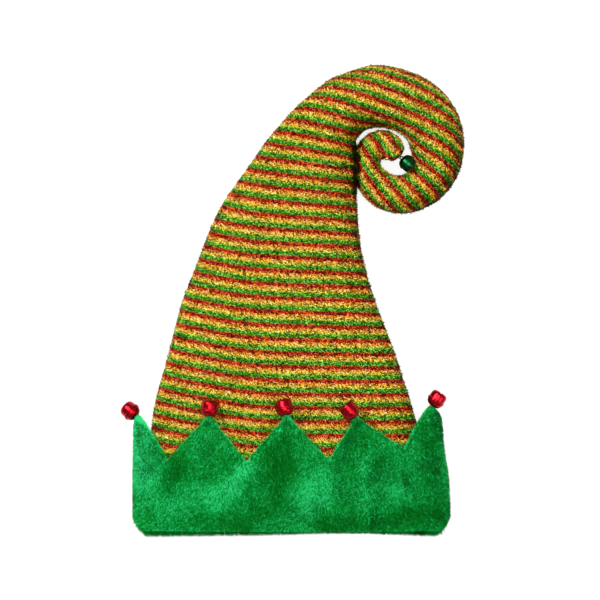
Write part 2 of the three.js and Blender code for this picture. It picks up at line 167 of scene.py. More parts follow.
# The body's sections from the hem up: the length that the next shares are of, and the side
# seams as shares of half the rim at shares of that length, then the heights of front, seam
# and back as shares of the body's depth and of how far its back is lifted, how square the oval
# is, and how many degrees the stripes run down to the right.
body_rows = [
    (cuff_height, 0.568, -0.922, 0.568, 0.885, 0.88, 0.42, 0.42, 2.8, 0.5),
    (cuff_height, 0.898, -0.878, 0.898, 0.799, 0.94, 0.46, 0.8, 2.7, 0.5),
    (cuff_height, 1.148, -0.846, 1.148, 0.743, 0.97, 0.49, 1.02, 2.6, 0.5),
    (hat_length, 0.395, -0.765, 0.395, 0.636, 1, 0.47, 0.52, 2.5, 1),
    (hat_length, 0.5, -0.683, 0.5, 0.523, 1, 0.45, 0.04, 2.4, 1.5),
    (hat_length, 0.584, -0.582, 0.584, 0.45, 0.98, 0.44, -0.1, 2.35, 2),
    (hat_length, 0.648, -0.507, 0.648, 0.422, 0.96, 0.44, -0.12, 2.3, 3),
    (hat_length, 0.711, -0.416, 0.711, 0.404, 0.94, 0.44, -0.12, 2.25, 4.5),
    (hat_length, 0.785, -0.266, 0.77, neck_edge, 0.92, 0.44, -0.12, 2.2, 6.5),
]

# The curl's sections: the turn clockwise from straight up, how much further the section
# turns, the middle's distance and half the width as shares of the curl's radius, depth over
# width, the middle's height as a share of the body's depth, and the stripes' slope.
curl_rows = [
    (-80, -2, 0.802, 0.468, 0.67, 0.442, 10),
    (-62, -6, 0.752, 0.37, 0.83, 0.438, 13),
    (-46, 0, 0.722, 0.325, 0.95, 0.436, 16),
    (-30, 0, 0.714, 0.317, 0.97, 0.434, 17),
    (-3, 0, arch_reach - 0.322, 0.322, 0.94, 0.43, 20),
    (30, 0, 0.641, 0.306, 0.95, 0.413, 23),
    (60, 0, 0.586, 0.29, 0.97, 0.396, 28),
    (90, 0, 0.527, 0.259, 1, 0.375, 35),
    (120, 0, 0.463, 0.227, 1.04, 0.362, 42),
    (150, 0, 0.375, 0.214, 1, 0.358, 46),
    (180, 0, 0.298, 0.204, 0.96, 0.358, 50),
    (210, 0, 0.249, 0.175, 1, 0.358, 53),
    (240, 0, 0.216, 0.143, 1.06, 0.358, 54),
    (270, 0, coil_reach - 0.117, 0.117, 1.15, 0.36, 55),
    (300, 0, 0.208, 0.138, 1, 0.365, 55),
    (330, 0, 0.204, 0.146, 0.94, 0.385, 54),
    (360, 0, 0.183, 0.149, 0.88, 0.43, 54),
    (384, 6, 0.155, 0.132, 0.84, 0.54, 54),
    (405, -2, 0.127, 0.104, 0.82, 0.66, 54),
]


def body_section(row):
    """Middle, half the width as a vector, heights, squareness and slope of one body row."""
    length, left_up, left, right_up, right, top, seam, under, square, slope = row
    return (
        rim_x + (left + right) / 2 * rim_half,
        rim_y + (left_up + right_up) / 2 * length,
        (right - left) / 2 * rim_half,
        (right_up - left_up) / 2 * length,
        top * body_depth,
        seam * body_depth,
        under * back_lift,
        square,
        slope,
    )


curl_middle = (
    rim_x + neck_edge * rim_half + curl_gap + coil_reach * curl_radius,
    rim_y + hat_length - arch_reach * curl_radius,
)


def curl_section(row):
    """The same for one row of the curl."""
    turn, tilt, radius, half, deep, middle, slope = row
    round_curl = math.radians(turn)
    facing = math.radians(turn + tilt)
    middle_x, middle_y = curl_middle
    half_width = half * curl_radius
    height = middle * body_depth
    return (
        middle_x + radius * curl_radius * math.sin(round_curl),
        middle_y + radius * curl_radius * math.cos(round_curl),
        -half_width * math.sin(facing),
        -half_width * math.cos(facing),
        height + half_width * deep,
        height,
        height - half_width * deep,
        2.1,
        slope,
    )


hem_section = (
    rim_x, rim_y + hem_height + seam_gap, rim_half - cuff_wall - cuff_clearance, 0,
    rim_depth - cuff_wall - cuff_clearance, rim_depth / 2, cuff_wall + cuff_clearance,
    rim_square, 0,
)
named_sections = np.array([
    hem_section,
    *(body_section(row) for row in body_rows),
    *(curl_section(row) for row in curl_rows),
])
section_names = ("x", "y", "half_x", "half_y", "top", "seam", "under", "square", "slope")


def sections_at(places):
    """The crown's sections at places between the named ones, on smooth curves through them."""
    last = len(named_sections) - 1
    first = np.minimum(np.floor(places).astype(int), last - 1)
    share = (places - first)[:, None]
    a, b, c, d = (named_sections[np.clip(first + step, 0, last)] for step in (-1, 0, 1, 2))
    values = 0.5 * (
        2 * b + (c - a) * share + (2 * a - 5 * b + 4 * c - d) * share**2
        + (3 * b - a - 3 * c + d) * share**3
    )
    return {name: values[:, [column]] for column, name in enumerate(section_names)}


def signed_power(value, power):
    return np.sign(value) * np.abs(value) ** power


def unit(vectors):
    return vectors / np.maximum(np.linalg.norm(vectors, axis=-1, keepdims=True), 1e-12)


def oval_points(section, angles, inset):
    """Points of sections' ovals. Angle 0 is the right-hand seam, a right angle is the front."""
    half = np.hypot(section["half_x"], section["half_y"])
    reach = (half - inset) * signed_power(np.cos(angles), 2 / section["square"])
    rise = signed_power(np.sin(angles), 2 / section["square"])
    front, back = section["top"] - section["seam"], section["seam"] - section["under"]
    height = np.where(rise > 0, front, back)
    x = section["x"] + section["half_x"] / half * reach
    y = section["y"] + section["half_y"] / half * reach
    floor = np.maximum(section["under"], 0) + inset
    z = np.maximum(section["seam"] + (height - inset) * rise, floor)
    return np.stack(np.broadcast_arrays(x, y, z), axis=-1)


def even_ring(points, count):
    """The same line through count + 1 points at even distances, and its length."""
    steps = np.linalg.norm(np.diff(points, axis=0), axis=1)
    travel = np.concatenate([[0], np.cumsum(steps)])
    wanted = np.linspace(0, travel[-1], count + 1)
    even = np.stack([np.interp(wanted, travel, points[:, axis]) for axis in range(3)], axis=1)
    return even, travel[-1]


crown_rings = 420
crown_sides = 144
half_sides = crown_sides // 2
fine_steps = 6000
curve_steps = 400
fine_places = np.linspace(0, len(named_sections) - 1, fine_steps)
fine = sections_at(fine_places)
step_x, step_y = np.diff(fine["x"][:, 0]), np.diff(fine["y"][:, 0])
travel = np.concatenate([[0], np.cumsum(np.hypot(step_x, step_y))])
down_right = np.radians((fine["slope"][1:, 0] + fine["slope"][:-1, 0]) / 2)
stripe_steps = step_x * np.sin(down_right) + step_y * np.cos(down_right)
stripe_middle = np.concatenate([[0], np.cumsum(stripe_steps)])

ring_travel = np.linspace(0, travel[-1], crown_rings)
ring_places = np.interp(ring_travel, travel, fine_places)
ring_stripe = np.interp(ring_travel, travel, stripe_middle)
rings = sections_at(ring_places)
front_angles = np.linspace(0, np.pi, curve_steps)[None, :]
front_fine = oval_points(rings, front_angles, 0)
back_fine = oval_points(rings, front_angles + np.pi, 0)
front_inner = oval_points(rings, front_angles, crown_wall)
back_inner = oval_points(rings, front_angles + np.pi, crown_wall)

outer = np.zeros((crown_rings, crown_sides, 3))
inner = np.zeros((crown_rings, crown_sides, 3))
across = np.zeros((crown_rings, crown_sides))
for ring in range(crown_rings):
    front_ring, front_length = even_ring(front_fine[ring], half_sides)
    back_ring = even_ring(back_fine[ring], half_sides)[0]
    outer[ring] = np.concatenate([front_ring[:-1], back_ring[:-1]])
    inner[ring, :half_sides] = even_ring(front_inner[ring], half_sides)[0][:-1]
    inner[ring, half_sides:] = even_ring(back_inner[ring], half_sides)[0][:-1]
    from_middle = front_length * np.linspace(0.5, -0.5, half_sides + 1)
    across[ring] = np.concatenate([from_middle[:-1], from_middle[:0:-1]])

ring_slope = np.radians(rings["slope"])
ring_half = np.hypot(rings["half_x"], rings["half_y"])
tilt_across = np.sin(ring_slope) * rings["half_x"] + np.cos(ring_slope) * rings["half_y"]
tilt_across = tilt_across / ring_half
from_bend = across - left_rise_start
left_side = (np.hypot(from_bend, left_rise_bend) - from_bend) / 2
fading = left_rise * np.clip(1 - rings["slope"] / left_rise_ends, 0, 1)
stripe = ring_stripe[:, None] + tilt_across * across - fading * left_side - stripe_start

# The cloth's soft unevenness: how far it stands in or out, in broad swells and small dents.
swell_height = 0.0009
dent_height = 0.0005
swell_size = 0.055
dent_size = 0.011
calm_rings = 12


def unevenness(points, height, size, shift):
    """Smooth noise at many points."""
    away = Vector((shift, 0, 0))
    return np.array([height * noise.noise(Vector(point) / size + away) for point in points])


def grid_normals(grid):
    """Directions that stand on a grid of rings that close on themselves."""
    along = np.gradient(grid, axis=0)
    around = np.roll(grid, -1, axis=1) - np.roll(grid, 1, axis=1)
    return unit(np.cross(around, along))


def outward_normals(grid):
    """The same, turned so that they point out of the first ring."""
    normals = grid_normals(grid)
    outward = (normals[0] * (grid[0] - grid[0].mean(axis=0))).sum()
    return normals if outward > 0 else -normals


flat_outer = outer.reshape(-1, 3)
pushed = unevenness(flat_outer, swell_height, swell_size, 3.1)
pushed += unevenness(flat_outer, dent_height, dent_size, 7.7)
from_hem = np.clip(np.arange(crown_rings) / calm_rings, 0, 1)[:, None]
pushed = pushed.reshape(crown_rings, crown_sides) * from_hem
moved = outward_normals(outer) * pushed[..., None]
outer = outer + moved
outer[..., 2] = np.maximum(outer[..., 2], lowest)
inner = inner + moved
inner[..., 2] = np.maximum(inner[..., 2], crown_wall)

# The top end is gathered on a thread into small pleats, and closes in a short dome.
tip_pleats = 9
pleat_depth = 0.09
pleat_rings = 16
dome_steps = 7
dome_hole = 0.6
dome_stripe_share = 0.6
tip_forward = np.array([-rings["half_y"][-1, 0], rings["half_x"][-1, 0], 0]) / ring_half[-1, 0]
tip_middle = np.array([rings["x"][-1, 0], rings["y"][-1, 0], rings["seam"][-1, 0]])
around_tip = np.linspace(0, 2 * np.pi, crown_sides, endpoint=False)
pleat = 1 - pleat_depth * (0.5 - 0.5 * np.cos(tip_pleats * around_tip))
for ring in range(crown_rings - pleat_rings, crown_rings):
    gathered = (ring - crown_rings + pleat_rings + 1) / pleat_rings
    centre = np.array([rings["x"][ring, 0], rings["y"][ring, 0], rings["seam"][ring, 0]])
    outer[ring] = centre + (outer[ring] - centre) * (1 + (pleat - 1) * gathered**2)[:, None]
dome = []
dome_stripe = []
for step in range(1, dome_steps + 1):
    angle = step / (dome_steps + dome_hole) * np.pi / 2
    drawn_in = tip_middle + (outer[-1] - tip_middle) * math.cos(angle)
    dome.append(drawn_in + tip_forward * tip_length * math.sin(angle))
    dome_stripe.append(stripe[-1] - dome_stripe_share * tip_length * math.sin(angle))
skin = np.concatenate([outer, np.array(dome)])
skin_stripe = np.concatenate([stripe, np.array(dome_stripe)])
skin_across = np.concatenate([across, np.repeat(across[-1:], dome_steps, axis=0)])

# How far along its stripe each point lies.
skin_slope = np.concatenate([ring_slope, np.repeat(ring_slope[-1:], dome_steps, axis=0)])
skin_along = (skin[..., 0] - curl_middle[0]) * np.cos(skin_slope)
skin_along -= (skin[..., 1] - curl_middle[1]) * np.sin(skin_slope)

lining_step = 7
lining = inner[::lining_step][:-1][::-1]


def ring_faces(ring_count, sides):
    """The faces between rings of points that follow each other, as pairs of triangles."""
    ring, side = np.meshgrid(np.arange(ring_count - 1), np.arange(sides), indexing="ij")
    turn = (side + 1) % sides
    a, b = ring * sides + side, ring * sides + turn
    c, d = (ring + 1) * sides + turn, (ring + 1) * sides + side
    halves = (a, b, c), (a, c, d)
    return np.concatenate([np.stack(half, -1).reshape(-1, 3) for half in halves])


def fan_faces(ring_start, sides, middle, turned):
    """The faces from a ring of points to a point in its middle."""
    side = np.arange(sides)
    a, b = ring_start + side, ring_start + (side + 1) % sides
    faces = np.stack([a, b, np.full(sides, middle)], -1)
    return faces[:, ::-1] if turned else faces


def set_numbers(piece, name, values):
    """One number for each of the piece's points, for its material to read."""
    attribute = piece.data.attributes.new(name, "FLOAT", "POINT")
    attribute.data.foreach_set("value", np.asarray(values, dtype=np.float32))


crown_grid = np.concatenate([lining, skin])
crown_end = tip_middle + tip_forward * tip_length
lining_end = tip_middle - tip_forward * crown_wall
crown_points = np.concatenate([crown_grid.reshape(-1, 3), [lining_end, crown_end]])
first_ring, last_ring = 0, (len(crown_grid) - 1) * crown_sides
crown_faces = np.concatenate([
    ring_faces(len(crown_grid), crown_sides),
    fan_faces(first_ring, crown_sides, len(crown_points) - 2, True),
    fan_faces(last_ring, crown_sides, len(crown_points) - 1, False),
])
lining_stripe = stripe[::lining_step][:-1][::-1]
lining_along = skin_along[:crown_rings:lining_step][:-1][::-1]
end_stripe, end_along = dome_stripe[-1].mean(), skin_along[-1].mean()
point_stripe = np.concatenate([lining_stripe.ravel(), skin_stripe.ravel(), [0, end_stripe]])
point_along = np.concatenate([lining_along.ravel(), skin_along.ravel(), [0, end_along]])

# The cloth below its tinsel: red, green and gold bands with ragged edges, dark between the
# loops. Each row is a shade: how far up the repeat it starts, its name, and its film's colour
# in shadow, at an angle, facing the light and glinting.
shade_rows = [
    (0.0, "red",
     (0.020, 0.001, 0.0005), (0.11, 0.004, 0.002), (0.52, 0.018, 0.006), (0.88, 0.13, 0.035)),
    (0.29, "green",
     (0.002, 0.014, 0.001), (0.010, 0.085, 0.005), (0.058, 0.36, 0.014), (0.27, 0.75, 0.10)),
    (0.57, "lime",
     (0.015, 0.022, 0.001), (0.07, 0.15, 0.006), (0.32, 0.55, 0.020), (0.66, 0.85, 0.13)),
    (0.64, "yellow",
     (0.035, 0.026, 0.001), (0.30, 0.25, 0.010), (0.71, 0.62, 0.034), (0.98, 0.90, 0.20)),
    (0.73, "gold",
     (0.045, 0.018, 0.001), (0.50, 0.24, 0.010), (0.98, 0.54, 0.040), (1.0, 0.80, 0.22)),
    (0.88, "orange",
     (0.040, 0.007, 0.0005), (0.44, 0.095, 0.007), (0.98, 0.31, 0.022), (1.0, 0.62, 0.19)),
]
shade_starts = np.array([row[0] for row in shade_rows])
ragged_edge = 0.0011
loop_width = 0.00098
loop_height = 0.00088
film_shine = 0.04


def banded_colour(tree, place, tone):
    """A node that gives the shades' colours in one light at a place in the stripes' repeat."""
    ramp = tree.nodes.new("ShaderNodeValToRGB")
    ramp.color_ramp.interpolation = "CONSTANT"
    ramp.color_ramp.elements[1].position = shade_rows[1][0]
    for row in shade_rows[2:]:
        ramp.color_ramp.elements.new(row[0])
    for element, row in zip(ramp.color_ramp.elements, shade_rows):
        element.color = (*row[2 + tone], 1)
    tree.links.new(place, ramp.inputs["Fac"])
    return ramp.outputs["Color"]


def math_node(tree, operation, first, second):
    """A node that works out one number from two, each a number or another node's output."""
    node = tree.nodes.new("ShaderNodeMath")
    node.operation = operation
    for socket, value in zip(node.inputs, (first, second)):
        if isinstance(value, (int, float)):
            socket.default_value = value
        else:
            tree.links.new(value, socket)
    return node.outputs["Value"]


striped_cloth, tree, shader = new_material("striped_tinsel_knit", 0.6, 0.15)
shader.inputs["Specular IOR Level"].default_value = film_shine
stripe_number = tree.nodes.new("ShaderNodeAttribute")
stripe_number.attribute_name = "stripe"
along_number = tree.nodes.new("ShaderNodeAttribute")
along_number.attribute_name = "along_stripe"
course = math_node(tree, "DIVIDE", stripe_number.outputs["Fac"], loop_height)
wale = math_node(tree, "DIVIDE", along_number.outputs["Fac"], loop_width)
knit_place = tree.nodes.new("ShaderNodeCombineXYZ")
tree.links.new(wale, knit_place.inputs["X"])
tree.links.new(course, knit_place.inputs["Y"])
loops = tree.nodes.new("ShaderNodeTexVoronoi")
loops.inputs["Scale"].default_value = 1
tree.links.new(knit_place.outputs["Vector"], loops.inputs["Vector"])
loop_tone = tree.nodes.new("ShaderNodeSeparateColor")
tree.links.new(loops.outputs["Color"], loop_tone.inputs["Color"])
ragged = math_node(tree, "MULTIPLY_ADD", loop_tone.outputs["Red"], ragged_edge)
tree.links.new(stripe_number.outputs["Fac"], ragged.node.inputs[2])
repeats = math_node(tree, "DIVIDE", ragged, stripe_repeat)
in_repeat = math_node(tree, "FRACT", repeats, 0)
# Painted light and shade: the cloth takes its band's shadow tone and lit tone, mixed loop by loop.
dark = banded_colour(tree, in_repeat, 0)
light = banded_colour(tree, in_repeat, 2)
cloth_tone = tree.nodes.new("ShaderNodeMix")
cloth_tone.data_type = "RGBA"
tree.links.new(math_node(tree, "POWER", loop_tone.outputs["Green"], 2), cloth_tone.inputs["Factor"])
tree.links.new(dark, cloth_tone.inputs["A"])
tree.links.new(light, cloth_tone.inputs["B"])
tree.links.new(cloth_tone.outputs["Result"], shader.inputs["Base Color"])
loop_relief = tree.nodes.new("ShaderNodeBump")
loop_relief.inputs["Strength"].default_value = 0.8
loop_relief.inputs["Distance"].default_value = 0.0005
loop_relief.invert = True
tree.links.new(loops.outputs["Distance"], loop_relief.inputs["Height"])
tree.links.new(loop_relief.outputs["Normal"], shader.inputs["Normal"])

crown = new_piece("crown_cloth", crown_points, crown_faces[:, ::-1], striped_cloth)
set_numbers(crown, "stripe", point_stripe)
set_numbers(crown, "along_stripe", point_along)
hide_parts("crown")
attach(crown, "root")

# The tinsel: short flat loops of metallic film knitted in with the yarn. They stand out of
# the cloth at all angles, some of them worked loose, and a few threads stick out. Each is a
# flat fleck in a darker or brighter tone of its band's colour.
fleck_length = (0.0007, 0.0013)
fleck_width = 0.0009
fleck_heading = 0.6
fleck_lift = 0.8
fleck_roll = 0.7
fleck_foot = 0.0001
loose_share = 0.07
loose_length = 0.0013
loose_lift = 0.6
stray_share = 0.0008
stray_length = 0.0028
front_flecks = 195000
back_flecks = 110000
tone_limits = np.array([0.30, 0.44, 0.70])
wrong_band = 0.028
rib_width = 0.0056
loop_lean = 0.8
drawn_numbers = 6007
next_row = 181
shared_light = 0.88
crease_shade = 0.4
away_from_light = np.array([0.7, -0.7, 0])
side_shade = 0.5

random = np.random.default_rng(1907)


def scatter(grid, count, numbers=(), wanted=None):
    """Even random places on a grid of rings: points, two directions, and numbers there.

    wanted is how likely a place is beside each point of the grid."""
    a, b = grid[:-1], np.roll(grid, -1, axis=1)[:-1]
    c, d = np.roll(grid, -1, axis=1)[1:], grid[1:]
    area = np.linalg.norm(np.cross(c - a, d - b), axis=2) / 2
    chance = area if wanted is None else area * wanted[:-1]
    chance = chance.ravel() / chance.sum()
    picked = np.searchsorted(np.cumsum(chance), random.random(count)).clip(0, chance.size - 1)
    ring, side = np.divmod(picked, grid.shape[1])
    up, over = random.random((2, count))
    turn = (side + 1) % grid.shape[1]

    def blend(values):
        shape = (count,) + (1,) * (values.ndim - 2)
        up_share, over_share = up.reshape(shape), over.reshape(shape)
        low = values[ring, side] * (1 - over_share) + values[ring, turn] * over_share
        high = values[ring + 1, side] * (1 - over_share) + values[ring + 1, turn] * over_share
        return low * (1 - up_share) + high * up_share

    along = unit(grid[ring + 1, side] - grid[ring, side])
    around = unit(grid[ring, turn] - grid[ring, side])
    return blend(grid), along, around, [blend(values) for values in numbers]


def loose_piece(name, feet, half, ends, materials, tone):
    """Loose narrow triangles from their feet to their ends, each of one tone's material."""
    corners = np.stack([feet - half, feet + half, ends], axis=1)
    corners[..., 2] = np.maximum(corners[..., 2], lowest)
    faces = np.arange(3 * len(feet)).reshape(-1, 3)
    piece = new_piece(name, corners.reshape(-1, 3), faces, *materials, smooth=False)
    piece.data.polygons.foreach_set("material_index", tone.astype(np.int32))
    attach(piece, "root")


# Painted light and shade: each band's film as four materials, in its shadow, angled, lit and
# glinting tones.
film = []
for _, shade, *tones in shade_rows:
    for light, tone in zip(("dark", "deep", "bright", "painted_glint"), tones):
        material, tree, shader = new_material(f"tinsel_{shade}_{light}", 0.45, 0.15)
        shader.inputs["Base Color"].default_value = (*tone, 1)
        shader.inputs["Specular IOR Level"].default_value = film_shine
        film.append(material)

loop_light = random.random(drawn_numbers)


def light_on_loops(along_stripe, up):
    """From 0 to 1, how much light the knitted loops at some places catch. Each loop's film
    shares one angle, and the loops lean over to the left."""
    course = up / loop_height
    wale = along_stripe / loop_width + loop_lean * course
    loop = np.floor(course).astype(int) * next_row + np.floor(wale).astype(int)
    return loop_light[loop % drawn_numbers]


# Where the coil rests against the body, the loops of the two catch in each other: they are more and
# longer there, and little light gets in, so they are drawn in darker tones as painted shade.
crease_x = rim_x + neck_edge * rim_half + curl_gap / 2
crease_up = (0.725, 0.83)
crease_width = 0.004
up_hat = (skin[..., 1] - rim_y) / hat_length
beside = np.abs(skin[..., 0] - crease_x) < crease_width
in_crease = (beside & (up_hat > crease_up[0]) & (up_hat < crease_up[1])).astype(float)
skin_normals = outward_normals(skin)
on_front = (np.arange(crown_sides) < half_sides).astype(float)[None, :]
ribs = 0.75 + 0.25 * np.cos(2 * np.pi * skin_across / rib_width)


def tinsel(name, count, wanted):
    """A piece of loose tinsel flecks on part of the crown."""
    numbers = (skin_normals, skin_stripe, skin_along, in_crease)
    places, along, around, found = scatter(skin, count, numbers, wanted)
    normal, up, along_stripe, crease = found
    normal = unit(normal)
    heading = (fleck_heading + random.normal(0, fleck_heading, count))[:, None]
    lying = around * np.cos(heading) + along * np.sin(heading)
    lying *= random.choice([-1, 1], count)[:, None]
    sideways = np.cross(normal, lying)
    loose = (random.random(count) < loose_share)[:, None]
    lift = random.uniform(0.0, fleck_lift, count)[:, None] + loose_lift * loose
    roll = random.uniform(-fleck_roll, fleck_roll, count)[:, None]
    reach = random.uniform(*fleck_length, count)[:, None]
    reach += loose_length * np.maximum(loose, crease[:, None])
    reach += stray_length * (random.random(count) < stray_share)[:, None]
    ends = places + (lying * np.cos(lift) + normal * np.sin(lift)) * reach
    half = (sideways * np.cos(roll) + normal * np.sin(roll)) * fleck_width / 2
    in_repeat = (up / stripe_repeat + random.normal(0, wrong_band, count)) % 1
    shade = np.searchsorted(shade_starts, in_repeat, side="right") - 1
    # Painted light: each fleck takes the tone of how much light its loop would catch.
    light = shared_light * light_on_loops(along_stripe, up)
    light += (1 - shared_light) * random.random(count)
    # Painted shade: loops in the crease and on the sides facing away from the key light are drawn
    # darker.
    light -= crease_shade * crease + side_shade * np.clip(normal @ away_from_light, 0, 1) ** 1.5
    tone = shade * 4 + np.searchsorted(tone_limits, light)
    loose_piece(name, places + normal * fleck_foot, half, ends, film, tone)


tinsel("front_tinsel", front_flecks, on_front * ribs * (1 + 2 * in_crease))
tinsel("back_tinsel", back_flecks, (1 - on_front) * ribs)

# The cuff is a band of green plush, folded in and sewn to the crown at its hem, with eight
# points cut round its upper edge. The front points lie on the crown, those at the back under
# it, and the middle ones are lifted by their bells.
hem_fold = 0.0055
front_hem_step = 0.0043
corner_lift = 0.014
edge_radius = 0.0028
pile_stand = 0.0013
red_bell_radius = 0.0085
bell_gap = 0.0006
dome_share = 1.08
bowl_share = 0.72
notch_share = 0.67
side_share = 0.8
front_fade = 0.6
corner_start = 0.88
flank_steps = 22
round_steps = 2880

# The cuff's half width on the left and right, as shares of half the rim, at shares of its
# height.
cuff_rows = np.array([
    (0, 0.995, 0.995),
    (0.15, 1, 1),
    (0.45, 0.998, 0.991),
    (0.75, 0.993, 0.957),
    (1.1, 0.988, 0.937),
])

# The points, clockwise seen from the crown from the left fold on: the side the tip is on (1
# is the front), the tip across and up, how rounded it is, the side of the notch after it, the
# notch across and up, and how far the bell leans to the right and dips to the floor.
point_rows = [
    ("left", 1, -0.965, 1, 0.35, 1, -0.782, 0.655, -52, 20),
    ("front_left", 1, -0.514, 1, 0.14, 1, -0.283, 0.645, 4, 0),
    ("front_middle", 1, -0.028, 1.01, 0.12, 1, 0.237, 0.66, -12, 16),
    ("front_right", 1, 0.41, 1, 0.1, 1, 0.714, 0.75, -40, 4),
    ("right", 1, 0.875, 1.08, 0.4, -1, 0.76, 0.67, 34, 0),
    ("back_right", -1, 0.5, 1, 0.12, -1, 0.25, 0.67, 6, 0),
    ("back_middle", -1, 0, 1, 0.12, -1, -0.25, 0.67, 0, 0),
    ("back_left", -1, -0.5, 1, 0.12, -1, -0.76, 0.67, -6, 0),
]

# Soft ridges in the front: where each starts and ends, across as shares of half the rim and up
# as shares of the cuff's height, and its width and height as shares of that height.
fold_rows = [
    (-0.78, 0.66, -0.93, 0.4, 0.07, 0.03),
    (-0.29, 0.62, -0.5, 0.16, 0.1, 0.045),
    (0.21, 0.62, 0.06, 0.2, 0.1, 0.035),
    (0.43, 0.8, 0.47, 0.15, 0.07, 0.03),
    (0.72, 0.6, 0.66, 0.25, 0.08, 0.025),
]


def smooth_step(value, low, high):
    share = np.clip((value - low) / (high - low), 0, 1)
    return share * share * (3 - 2 * share)


rising = fine["y"][:, 0] < rim_y + 0.5 * hat_length


def cuff_points(angles, up, inset):
    """Points of the cuff's own oval at heights above the rim, without folds or lift."""
    share = up / cuff_height
    left = np.interp(share, cuff_rows[:, 0], cuff_rows[:, 1]) * rim_half
    right = np.interp(share, cuff_rows[:, 0], cuff_rows[:, 2]) * rim_half
    crown_y = fine["y"][rising, 0] - rim_y
    section = {
        "x": rim_x + (right - left) / 2,
        "y": rim_y + up,
        "half_x": (left + right) / 2,
        "half_y": np.zeros_like(left),
        "top": np.interp(up, crown_y, fine["top"][rising, 0]) + cuff_clearance + cuff_wall,
        "seam": np.interp(up, crown_y, fine["seam"][rising, 0]),
        "under": -cuff_clearance,
        "square": rim_square,
    }
    return oval_points(section, angles, inset)


def hem_points(angles, up, inset):
    """Points of the crown's hem oval, at a height above the rim."""
    section = dict(zip(section_names, hem_section))
    points = oval_points(section, angles, inset)
    points[..., 1] = rim_y + up
    return points


def from_lines(points, rows):
    """What soft lines on the cuff add up to at places on it."""
    total = np.zeros(points.shape[:-1])
    for across, up, to_across, to_up, wide, much in rows:
        start = np.array([rim_x + across * rim_half, rim_y + up * cuff_height])
        run = np.array([rim_x + to_across * rim_half, rim_y + to_up * cuff_height]) - start
        from_start = points[..., :2] - start
        share = np.clip(from_start @ run / (run @ run), 0, 1)[..., None]
        away = np.linalg.norm(from_start - share * run, axis=-1) / (wide * cuff_height)
        total = total + much * np.exp(-away * away)
    return total


def bell_lengths(radius):
    """How far a bell's dome, bowl and foot reach from its flange."""
    return radius * dome_share, radius * bowl_share, radius


def tip_height(dip):
    """How far a bell that dips holds its point's edge above what it lies on."""
    dome, _, foot = bell_lengths(red_bell_radius)
    return bell_gap + red_bell_radius * math.cos(dip) + (foot + dome) * math.sin(dip)


round_angles = np.linspace(np.pi, -np.pi, round_steps + 1)
notch_ring = cuff_points(round_angles, np.full(round_angles.shape, notch_share * cuff_height), 0)
ring_steps = np.linalg.norm(np.diff(notch_ring, axis=0), axis=1)
ring_lengths = np.concatenate([[0], np.cumsum(ring_steps)])
round_length = ring_lengths[-1]


def length_round(across, up, face):
    """How far round the rim a place is from the left fold, over the front first."""
    left = np.interp(up, cuff_rows[:, 0], cuff_rows[:, 1])
    right = np.interp(up, cuff_rows[:, 0], cuff_rows[:, 2])
    share = np.clip((across - (right - left) / 2) / ((left + right) / 2), -1, 1)
    angle = face * math.acos(signed_power(share, rim_square / 2))
    return float(np.interp(-angle, -round_angles, ring_lengths))


def edge_share(away, blunt):
    """Straight flanks from a rounded tip, 0, to a sharp notch, 1."""
    return (np.hypot(away, blunt) - blunt) / (math.hypot(1, blunt) - blunt)


# The cuff's columns: the angle round the rim, the cut edge's height there, the heights of the
# notch and the tip beside it, and how far the tip is lifted.
columns = {"angle": [], "height": [], "notch_up": [], "tip_up": [], "lift": []}
for which, row in enumerate(point_rows):
    following = point_rows[(which + 1) % len(point_rows)]
    tip = length_round(row[2], row[3], row[1])
    notch = length_round(row[6], row[7], row[5])
    next_tip = length_round(following[2], following[3], following[1])
    next_tip += 0 if which < len(point_rows) - 1 else round_length
    down = np.linspace(0, 1, flank_steps + 1)
    for owner, start, aways in ((row, tip, down[:-1]), (following, next_tip, down[:0:-1])):
        lengths = start + (notch - start) * aways
        tip_up, notch_up = owner[3] * cuff_height, row[7] * cuff_height
        rest = cuff_clearance if owner[1] > 0 else 0
        lift = tip_height(math.radians(owner[9])) - cuff_wall / 2 - rest
        if abs(owner[2]) > side_share:
            lift = 0
        columns["angle"].append(np.interp(lengths % round_length, ring_lengths, round_angles))
        columns["height"].append(tip_up - (tip_up - notch_up) * edge_share(aways, owner[4]))
        for name, value in (("notch_up", notch_up), ("tip_up", tip_up), ("lift", lift)):
            columns[name].append(np.full(len(aways), value))
columns = {name: np.concatenate(values) for name, values in columns.items()}
front_share = smooth_step(np.sin(columns["angle"]), 0, front_fade)


def lifted(points, up):
    """The same points with the front's folds and the points' lift."""
    share = smooth_step(up, columns["notch_up"], columns["tip_up"])
    lift = columns["lift"] * share * np.abs(np.sin(columns["angle"])) ** 0.5
    points = points.copy()
    points[..., 2] += front_share * cuff_height * from_lines(points, fold_rows) + lift
    return points


# The skin lies a little inside the cuff's outline, because the pile stands out of it. The hem
# rises in front, and again at its two corners.
from_corner = np.abs(np.cos(columns["angle"])) - corner_start
corner = np.maximum(from_corner, 0) / (1 - corner_start)
bottom = front_hem_step * front_share + corner_lift * corner**3 + pile_stand
height = columns["height"] - pile_stand


def rounded(distance, radius):
    """How far a rounded edge draws a skin in, at a distance from the edge."""
    share = np.clip(1 - distance / radius, 0, 1)
    return 1 - np.sqrt(1 - share * share)


